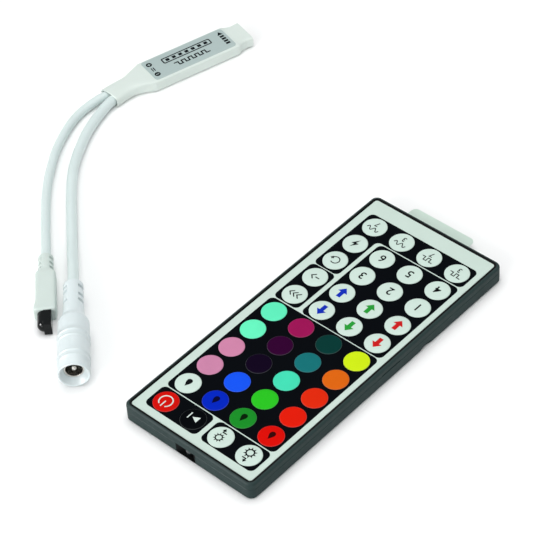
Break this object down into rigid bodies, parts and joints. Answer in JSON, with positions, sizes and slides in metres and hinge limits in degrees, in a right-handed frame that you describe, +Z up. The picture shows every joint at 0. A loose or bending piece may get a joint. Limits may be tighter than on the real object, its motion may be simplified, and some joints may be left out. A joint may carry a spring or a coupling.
{
  "type": "led strip controller",
  "caption": "Small in-line controller in a white sleeve with a power socket and an infrared eye on short leads, and a flat handset with a grid of round coloured keys.",
  "frame": {"origin": "middle of the handset's underside", "axes": "+X along the handset to its battery end, +Y across it towards the controller, +Z up through the keys"},
  "size_m": [0.1717, 0.1727, 0.011],
  "materials": {
    "case_plastic": "fine moulded texture, dark grey",
    "film_white": "printed film, satin",
    "board_green": "circuit board",
    "emitter_resin": "clear grey resin",
    "cell_steel": "bright steel can",
    "tab_film": "thin translucent film",
    "sleeve_white": "shrunk white sleeve",
    "label_silver": "silver grey label",
    "lead_white": "soft white jacket",
    "moulding_white": "soft white moulding",
    "receiver_black": "glossy black resin",
    "key_black": "satin key film",
    "key_power_red": "satin key film",
    "key_white": "satin key film",
    "key_red": "satin key film",
    "key_green": "satin key film",
    "key_blue": "satin key film",
    "key_scarlet": "satin key film",
    "key_lime": "satin key film",
    "key_azure": "satin key film",
    "key_pink": "satin key film",
    "key_vermilion": "satin key film",
    "key_turquoise": "satin key film",
    "key_dark_violet": "satin key film",
    "key_rose": "satin key film",
    "key_orange": "satin key film",
    "key_teal": "satin key film",
    "key_plum": "satin key film",
    "key_mint": "satin key film",
    "key_yellow": "satin key film",
    "key_dark_teal": "satin key film",
    "key_magenta": "satin key film",
    "key_aqua": "satin key film"
  },
  "bodies": {
    "root": {"front_case": "case_plastic", "back_case": "case_plastic", "keypad_overlay": "film_white", "circuit_board": "board_green", "infrared_led": "emitter_resin", "shrink_sleeve": "sleeve_white", "control_board": "board_green", "rating_label": "label_silver", "dc_lead": "lead_white", "ir_lead": "lead_white", "dc_socket": "moulding_white", "ir_eye_housing": "moulding_white", "ir_receiver": "receiver_black"},
    "battery_drawer": {"battery_drawer": "case_plastic", "coin_cell": "cell_steel"},
    "pull_tab": {"pull_tab": "tab_film"},
    "key_brightness_up": {"key_brightness_up": "key_white"},
    "key_brightness_down": {"key_brightness_down": "key_white"},
    "key_play_pause": {"key_play_pause": "key_black"},
    "key_power": {"key_power": "key_power_red"},
    "key_red": {"key_red": "key_red"},
    "key_green": {"key_green": "key_green"},
    "key_blue": {"key_blue": "key_blue"},
    "key_white": {"key_white": "key_white"},
    "key_scarlet": {"key_scarlet": "key_scarlet"},
    "key_lime": {"key_lime": "key_lime"},
    "key_azure": {"key_azure": "key_azure"},
    "key_pink": {"key_pink": "key_pink"},
    "key_vermilion": {"key_vermilion": "key_vermilion"},
    "key_turquoise": {"key_turquoise": "key_turquoise"},
    "key_dark_violet": {"key_dark_violet": "key_dark_violet"},
    "key_rose": {"key_rose": "key_rose"},
    "key_orange": {"key_orange": "key_orange"},
    "key_teal": {"key_teal": "key_teal"},
    "key_plum": {"key_plum": "key_plum"},
    "key_mint": {"key_mint": "key_mint"},
    "key_yellow": {"key_yellow": "key_yellow"},
    "key_dark_teal": {"key_dark_teal": "key_dark_teal"},
    "key_magenta": {"key_magenta": "key_magenta"},
    "key_aqua": {"key_aqua": "key_aqua"},
    "key_red_up": {"key_red_up": "key_white"},
    "key_green_up": {"key_green_up": "key_white"},
    "key_blue_up": {"key_blue_up": "key_white"},
    "key_quick": {"key_quick": "key_white"},
    "key_red_down": {"key_red_down": "key_white"},
    "key_green_down": {"key_green_down": "key_white"},
    "key_blue_down": {"key_blue_down": "key_white"},
    "key_slow": {"key_slow": "key_white"},
    "key_custom_1": {"key_custom_1": "key_white"},
    "key_custom_2": {"key_custom_2": "key_white"},
    "key_custom_3": {"key_custom_3": "key_white"},
    "key_auto": {"key_auto": "key_white"},
    "key_custom_4": {"key_custom_4": "key_white"},
    "key_custom_5": {"key_custom_5": "key_white"},
    "key_custom_6": {"key_custom_6": "key_white"},
    "key_flash": {"key_flash": "key_white"},
    "key_jump_3": {"key_jump_3": "key_white"},
    "key_jump_7": {"key_jump_7": "key_white"},
    "key_fade_3": {"key_fade_3": "key_white"},
    "key_fade_7": {"key_fade_7": "key_white"}
  },
  "joints": [
    {"name": "drawer_slide", "type": "slide", "parent": "root", "child": "battery_drawer", "axis": [1, 0, 0], "range_m": [0, 0.024]},
    {"name": "tab_pull", "type": "slide", "parent": "root", "child": "pull_tab", "axis": [1, 0, 0], "range_m": [0, 0.02]},
    {"name": "brightness_up_press", "type": "slide", "parent": "root", "child": "key_brightness_up", "axis": [0, 0, -1], "range_m": [0, 0.0003], "stiffness_N_per_m": 500},
    {"name": "brightness_down_press", "type": "slide", "parent": "root", "child": "key_brightness_down", "axis": [0, 0, -1], "range_m": [0, 0.0003], "stiffness_N_per_m": 500},
    {"name": "play_pause_press", "type": "slide", "parent": "root", "child": "key_play_pause", "axis": [0, 0, -1], "range_m": [0, 0.0003], "stiffness_N_per_m": 500},
    {"name": "power_press", "type": "slide", "parent": "root", "child": "key_power", "axis": [0, 0, -1], "range_m": [0, 0.0003], "stiffness_N_per_m": 500},
    {"name": "red_press", "type": "slide", "parent": "root", "child": "key_red", "axis": [0, 0, -1], "range_m": [0, 0.0003], "stiffness_N_per_m": 500},
    {"name": "green_press", "type": "slide", "parent": "root", "child": "key_green", "axis": [0, 0, -1], "range_m": [0, 0.0003], "stiffness_N_per_m": 500},
    {"name": "blue_press", "type": "slide", "parent": "root", "child": "key_blue", "axis": [0, 0, -1], "range_m": [0, 0.0003], "stiffness_N_per_m": 500},
    {"name": "white_press", "type": "slide", "parent": "root", "child": "key_white", "axis": [0, 0, -1], "range_m": [0, 0.0003], "stiffness_N_per_m": 500},
    {"name": "scarlet_press", "type": "slide", "parent": "root", "child": "key_scarlet", "axis": [0, 0, -1], "range_m": [0, 0.0003], "stiffness_N_per_m": 500},
    {"name": "lime_press", "type": "slide", "parent": "root", "child": "key_lime", "axis": [0, 0, -1], "range_m": [0, 0.0003], "stiffness_N_per_m": 500},
    {"name": "azure_press", "type": "slide", "parent": "root", "child": "key_azure", "axis": [0, 0, -1], "range_m": [0, 0.0003], "stiffness_N_per_m": 500},
    {"name": "pink_press", "type": "slide", "parent": "root", "child": "key_pink", "axis": [0, 0, -1], "range_m": [0, 0.0003], "stiffness_N_per_m": 500},
    {"name": "vermilion_press", "type": "slide", "parent": "root", "child": "key_vermilion", "axis": [0, 0, -1], "range_m": [0, 0.0003], "stiffness_N_per_m": 500},
    {"name": "turquoise_press", "type": "slide", "parent": "root", "child": "key_turquoise", "axis": [0, 0, -1], "range_m": [0, 0.0003], "stiffness_N_per_m": 500},
    {"name": "dark_violet_press", "type": "slide", "parent": "root", "child": "key_dark_violet", "axis": [0, 0, -1], "range_m": [0, 0.0003], "stiffness_N_per_m": 500},
    {"name": "rose_press", "type": "slide", "parent": "root", "child": "key_rose", "axis": [0, 0, -1], "range_m": [0, 0.0003], "stiffness_N_per_m": 500},
    {"name": "orange_press", "type": "slide", "parent": "root", "child": "key_orange", "axis": [0, 0, -1], "range_m": [0, 0.0003], "stiffness_N_per_m": 500},
    {"name": "teal_press", "type": "slide", "parent": "root", "child": "key_teal", "axis": [0, 0, -1], "range_m": [0, 0.0003], "stiffness_N_per_m": 500},
    {"name": "plum_press", "type": "slide", "parent": "root", "child": "key_plum", "axis": [0, 0, -1], "range_m": [0, 0.0003], "stiffness_N_per_m": 500},
    {"name": "mint_press", "type": "slide", "parent": "root", "child": "key_mint", "axis": [0, 0, -1], "range_m": [0, 0.0003], "stiffness_N_per_m": 500},
    {"name": "yellow_press", "type": "slide", "parent": "root", "child": "key_yellow", "axis": [0, 0, -1], "range_m": [0, 0.0003], "stiffness_N_per_m": 500},
    {"name": "dark_teal_press", "type": "slide", "parent": "root", "child": "key_dark_teal", "axis": [0, 0, -1], "range_m": [0, 0.0003], "stiffness_N_per_m": 500},
    {"name": "magenta_press", "type": "slide", "parent": "root", "child": "key_magenta", "axis": [0, 0, -1], "range_m": [0, 0.0003], "stiffness_N_per_m": 500},
    {"name": "aqua_press", "type": "slide", "parent": "root", "child": "key_aqua", "axis": [0, 0, -1], "range_m": [0, 0.0003], "stiffness_N_per_m": 500},
    {"name": "red_up_press", "type": "slide", "parent": "root", "child": "key_red_up", "axis": [0, 0, -1], "range_m": [0, 0.0003], "stiffness_N_per_m": 500},
    {"name": "green_up_press", "type": "slide", "parent": "root", "child": "key_green_up", "axis": [0, 0, -1], "range_m": [0, 0.0003], "stiffness_N_per_m": 500},
    {"name": "blue_up_press", "type": "slide", "parent": "root", "child": "key_blue_up", "axis": [0, 0, -1], "range_m": [0, 0.0003], "stiffness_N_per_m": 500},
    {"name": "quick_press", "type": "slide", "parent": "root", "child": "key_quick", "axis": [0, 0, -1], "range_m": [0, 0.0003], "stiffness_N_per_m": 500},
    {"name": "red_down_press", "type": "slide", "parent": "root", "child": "key_red_down", "axis": [0, 0, -1], "range_m": [0, 0.0003], "stiffness_N_per_m": 500},
    {"name": "green_down_press", "type": "slide", "parent": "root", "child": "key_green_down", "axis": [0, 0, -1], "range_m": [0, 0.0003], "stiffness_N_per_m": 500},
    {"name": "blue_down_press", "type": "slide", "parent": "root", "child": "key_blue_down", "axis": [0, 0, -1], "range_m": [0, 0.0003], "stiffness_N_per_m": 500},
    {"name": "slow_press", "type": "slide", "parent": "root", "child": "key_slow", "axis": [0, 0, -1], "range_m": [0, 0.0003], "stiffness_N_per_m": 500},
    {"name": "custom_1_press", "type": "slide", "parent": "root", "child": "key_custom_1", "axis": [0, 0, -1], "range_m": [0, 0.0003], "stiffness_N_per_m": 500},
    {"name": "custom_2_press", "type": "slide", "parent": "root", "child": "key_custom_2", "axis": [0, 0, -1], "range_m": [0, 0.0003], "stiffness_N_per_m": 500},
    {"name": "custom_3_press", "type": "slide", "parent": "root", "child": "key_custom_3", "axis": [0, 0, -1], "range_m": [0, 0.0003], "stiffness_N_per_m": 500},
    {"name": "auto_press", "type": "slide", "parent": "root", "child": "key_auto", "axis": [0, 0, -1], "range_m": [0, 0.0003], "stiffness_N_per_m": 500},
    {"name": "custom_4_press", "type": "slide", "parent": "root", "child": "key_custom_4", "axis": [0, 0, -1], "range_m": [0, 0.0003], "stiffness_N_per_m": 500},
    {"name": "custom_5_press", "type": "slide", "parent": "root", "child": "key_custom_5", "axis": [0, 0, -1], "range_m": [0, 0.0003], "stiffness_N_per_m": 500},
    {"name": "custom_6_press", "type": "slide", "parent": "root", "child": "key_custom_6", "axis": [0, 0, -1], "range_m": [0, 0.0003], "stiffness_N_per_m": 500},
    {"name": "flash_press", "type": "slide", "parent": "root", "child": "key_flash", "axis": [0, 0, -1], "range_m": [0, 0.0003], "stiffness_N_per_m": 500},
    {"name": "jump_3_press", "type": "slide", "parent": "root", "child": "key_jump_3", "axis": [0, 0, -1], "range_m": [0, 0.0003], "stiffness_N_per_m": 500},
    {"name": "jump_7_press", "type": "slide", "parent": "root", "child": "key_jump_7", "axis": [0, 0, -1], "range_m": [0, 0.0003], "stiffness_N_per_m": 500},
    {"name": "fade_3_press", "type": "slide", "parent": "root", "child": "key_fade_3", "axis": [0, 0, -1], "range_m": [0, 0.0003], "stiffness_N_per_m": 500},
    {"name": "fade_7_press", "type": "slide", "parent": "root", "child": "key_fade_7", "axis": [0, 0, -1], "range_m": [0, 0.0003], "stiffness_N_per_m": 500}
  ]
}
